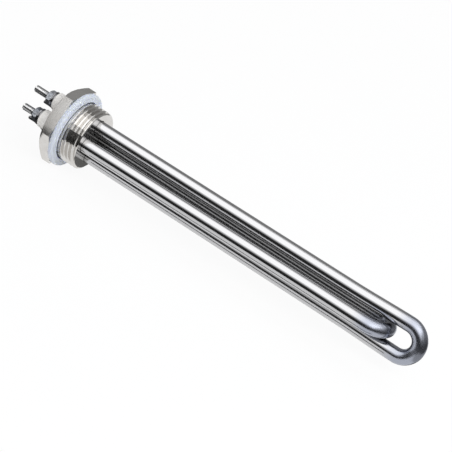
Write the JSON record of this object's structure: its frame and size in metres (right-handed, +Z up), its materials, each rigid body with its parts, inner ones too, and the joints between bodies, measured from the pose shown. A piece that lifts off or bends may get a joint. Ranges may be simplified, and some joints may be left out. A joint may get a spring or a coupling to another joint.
{
  "type": "screw plug immersion heater",
  "caption": "Screw plug immersion heater: crossed hairpin heating elements in a threaded hexagon plug, with stud terminals at the back.",
  "frame": {"origin": "under the middle of the heater's length, at the height of the sealing ring's lowest point", "axes": "+X along the heater's axis, from the terminals to the hairpins' tips; +Z up, across two flats of the hexagon; +Y completes the right hand"},
  "size_m": [0.2462, 0.0438, 0.0416],
  "materials": {
    "plug_metal": "nickel plated, machined",
    "gasket": "milky translucent",
    "sheath": "polished stainless, satin bends",
    "powder": "packed white powder",
    "wire": "resistance wire",
    "stud": "bare steel",
    "sealing_compound": "matt",
    "insulator": "white, half glazed",
    "washer": "bare steel",
    "nut": "zinc plated"
  },
  "bodies": {
    "root": {"plug_body": "plug_metal", "sealing_gasket": "gasket", "outer_sheath": "sheath", "inner_sheath": "sheath", "outer_insulating_fill": "powder", "inner_insulating_fill": "powder", "outer_heating_coil": "wire", "inner_heating_coil": "wire", "terminal_stud_top": "stud", "terminal_stud_front": "stud", "plain_pin_bottom": "stud", "plain_pin_rear": "stud", "end_seal_top": "sealing_compound", "end_seal_front": "sealing_compound", "end_seal_bottom": "sealing_compound", "end_seal_rear": "sealing_compound", "ceramic_insulator_top": "insulator", "ceramic_insulator_front": "insulator", "ceramic_insulator_bottom": "insulator", "ceramic_insulator_rear": "insulator", "link_strip_top_rear": "washer", "link_strip_front_bottom": "washer", "flat_washer_top": "washer", "flat_washer_front": "washer", "hex_nut_top": "nut", "hex_nut_front": "nut"}
  },
  "joints": []
}
